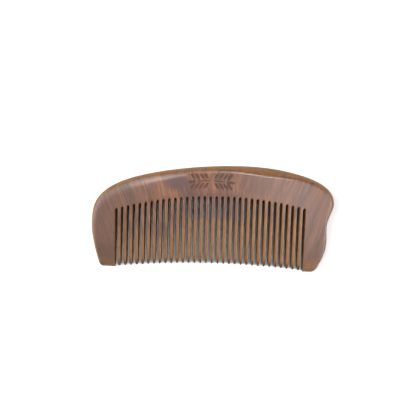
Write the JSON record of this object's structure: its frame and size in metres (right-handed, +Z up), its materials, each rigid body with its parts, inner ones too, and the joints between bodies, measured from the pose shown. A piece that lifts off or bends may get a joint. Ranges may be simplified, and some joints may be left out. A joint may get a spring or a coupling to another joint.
{
  "type": "comb",
  "caption": "Half-moon pocket hair comb sawn from one board of dense brown wood, with a thick rounded back, wide end guards and tapered teeth.",
  "frame": {"origin": "under the middle of the comb's bounding box, on its flat lower face", "axes": "+X along the comb, from the left guard to the nosed end; +Y from the tooth tips to the back; +Z up through the thickness, out of the upper face"},
  "size_m": [0.13, 0.056, 0.01],
  "materials": {
    "comb_wood": "polished, oiled, fine-grained dense wood, satin gloss"
  },
  "bodies": {
    "root": {"back": "comb_wood", "left_guard": "comb_wood", "right_guard": "comb_wood", "tooth_01": "comb_wood", "tooth_02": "comb_wood", "tooth_03": "comb_wood", "tooth_04": "comb_wood", "tooth_05": "comb_wood", "tooth_06": "comb_wood", "tooth_07": "comb_wood", "tooth_08": "comb_wood", "tooth_09": "comb_wood", "tooth_10": "comb_wood", "tooth_11": "comb_wood", "tooth_12": "comb_wood", "tooth_13": "comb_wood", "tooth_14": "comb_wood", "tooth_15": "comb_wood", "tooth_16": "comb_wood", "tooth_17": "comb_wood", "tooth_18": "comb_wood", "tooth_19": "comb_wood", "tooth_20": "comb_wood", "tooth_21": "comb_wood", "tooth_22": "comb_wood", "tooth_23": "comb_wood", "tooth_24": "comb_wood", "tooth_25": "comb_wood", "tooth_26": "comb_wood", "tooth_27": "comb_wood", "tooth_28": "comb_wood", "tooth_29": "comb_wood", "tooth_30": "comb_wood", "tooth_31": "comb_wood", "tooth_32": "comb_wood"}
  },
  "joints": []
}
